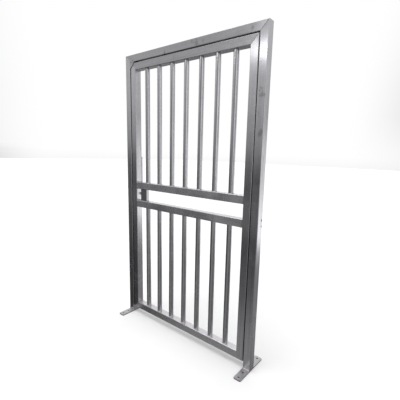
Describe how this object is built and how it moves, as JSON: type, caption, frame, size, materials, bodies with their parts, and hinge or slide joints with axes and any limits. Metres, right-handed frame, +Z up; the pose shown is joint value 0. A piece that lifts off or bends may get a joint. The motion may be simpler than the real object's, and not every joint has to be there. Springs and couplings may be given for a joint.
{
  "type": "garden gate",
  "caption": "Galvanised steel garden gate: a tube frame on two foot plates with a hinged leaf of round bars, two mid rails and a slide bolt.",
  "frame": {"origin": "ground level, midway between the two posts and midway along the foot plates' length", "axes": "+X along the gate from the latch post to the hinge post, +Y from the front to the back, +Z up"},
  "size_m": [1.18, 0.26, 2],
  "materials": {
    "galvanised_tube": "smooth zinc-coated steel tube, semi-gloss, drawn marks along its length",
    "galvanised_plate": "zinc-coated flat plate, duller grey",
    "galvanised_round_bar": "smooth zinc-coated round tube, semi-gloss",
    "hinge_steel": "zinc-coated steel",
    "bright_steel": "bright steel",
    "brass_washer": "plain brass",
    "lock_block_steel": "darker rectangular steel tube, semi-gloss"
  },
  "bodies": {
    "frame": {"left_post": "galvanised_tube", "right_post": "galvanised_tube", "lintel": "galvanised_tube", "left_foot_plate": "galvanised_plate", "right_foot_plate": "galvanised_plate", "corner_gusset": "galvanised_plate", "lower_hinge_post_half": "hinge_steel", "upper_hinge_post_half": "hinge_steel", "lower_hinge_pin": "bright_steel", "upper_hinge_pin": "bright_steel", "lower_hinge_washer": "brass_washer", "upper_hinge_washer": "brass_washer", "bolt_keeper": "galvanised_plate"},
    "leaf": {"left_stile": "galvanised_tube", "right_stile": "galvanised_tube", "bottom_rail": "galvanised_tube", "top_rail": "galvanised_tube", "upper_mid_rail": "galvanised_tube", "lower_mid_rail": "galvanised_tube", "corner_closing_plate": "galvanised_plate", "upper_bar_1": "galvanised_round_bar", "upper_bar_2": "galvanised_round_bar", "upper_bar_3": "galvanised_round_bar", "upper_bar_4": "galvanised_round_bar", "upper_bar_5": "galvanised_round_bar", "upper_bar_6": "galvanised_round_bar", "upper_bar_7": "galvanised_round_bar", "lower_bar_1": "galvanised_round_bar", "lower_bar_2": "galvanised_round_bar", "lower_bar_3": "galvanised_round_bar", "lower_bar_4": "galvanised_round_bar", "lower_bar_5": "galvanised_round_bar", "lower_bar_6": "galvanised_round_bar", "lower_bar_7": "galvanised_round_bar", "lower_hinge_leaf_half": "hinge_steel", "upper_hinge_leaf_half": "hinge_steel", "stop_plate": "galvanised_plate", "lock_block": "lock_block_steel", "bolt_guide": "galvanised_plate"},
    "bolt": {"lock_bolt": "bright_steel", "bolt_knob": "bright_steel"}
  },
  "joints": [
    {"name": "gate_swing", "type": "hinge", "parent": "frame", "child": "leaf", "pos_m": [0.5375, 0.0343, 0.25], "axis": [0, 0, -1], "range_deg": [0, 110]},
    {"name": "bolt_slide", "type": "slide", "parent": "leaf", "child": "bolt", "axis": [-1, 0, 0], "range_m": [0, 0.025]}
  ]
}
